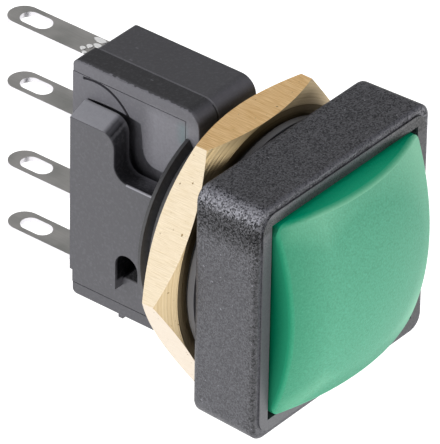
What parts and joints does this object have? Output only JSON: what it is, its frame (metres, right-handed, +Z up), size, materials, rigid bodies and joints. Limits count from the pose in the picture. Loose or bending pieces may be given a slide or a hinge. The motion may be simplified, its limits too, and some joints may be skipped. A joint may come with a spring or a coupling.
{
  "type": "pushbutton switch",
  "caption": "Panel-mount momentary pushbutton with a square bezel, domed square cap, threaded barrel with hex nut, and a contact block with flat solder lugs.",
  "frame": {"origin": "on the push axis, in the plane of the collar's rear face, where it meets the panel", "axes": "+Y is the push direction, into the panel; +Z is up; +X is to the right as seen from the front"},
  "size_m": [0.0226, 0.0331, 0.0199],
  "materials": {
    "black_moulding": "spark-eroded matte",
    "block_moulding": "satin moulded",
    "green_cap": "fine matte",
    "nut_brass": "turned, unplated",
    "gasket_rubber": "matte",
    "tinned_brass": "dull tin plating",
    "contact_silver": "satin silver",
    "spring_steel": "bright drawn wire and strip",
    "pale_moulding": "natural moulding"
  },
  "bodies": {
    "body": {"bezel": "black_moulding", "threaded_barrel": "black_moulding", "panel_gasket": "gasket_rubber", "hex_nut": "nut_brass", "retaining_ring": "spring_steel", "return_spring": "spring_steel", "block_right_shell": "block_moulding", "block_left_shell": "block_moulding", "side_cover": "block_moulding", "top_outer_terminal": "tinned_brass", "top_inner_terminal": "tinned_brass", "bottom_inner_terminal": "tinned_brass", "bottom_outer_terminal": "tinned_brass", "fixed_contacts": "contact_silver", "carrier_spring": "spring_steel"},
    "button": {"button_cap": "green_cap", "plunger": "pale_moulding", "contact_carrier": "pale_moulding", "top_bridge": "tinned_brass", "bottom_bridge": "tinned_brass", "moving_contacts": "contact_silver", "bridge_clips": "spring_steel", "top_contact_spring": "spring_steel", "bottom_contact_spring": "spring_steel"}
  },
  "joints": [
    {"name": "button_press", "type": "slide", "parent": "body", "child": "button", "axis": [0, 1, 0], "range_m": [0, 0.0025], "stiffness_N_per_m": 800, "springref_m": -0.0015, "deforming": ["return_spring", "carrier_spring"]}
  ]
}
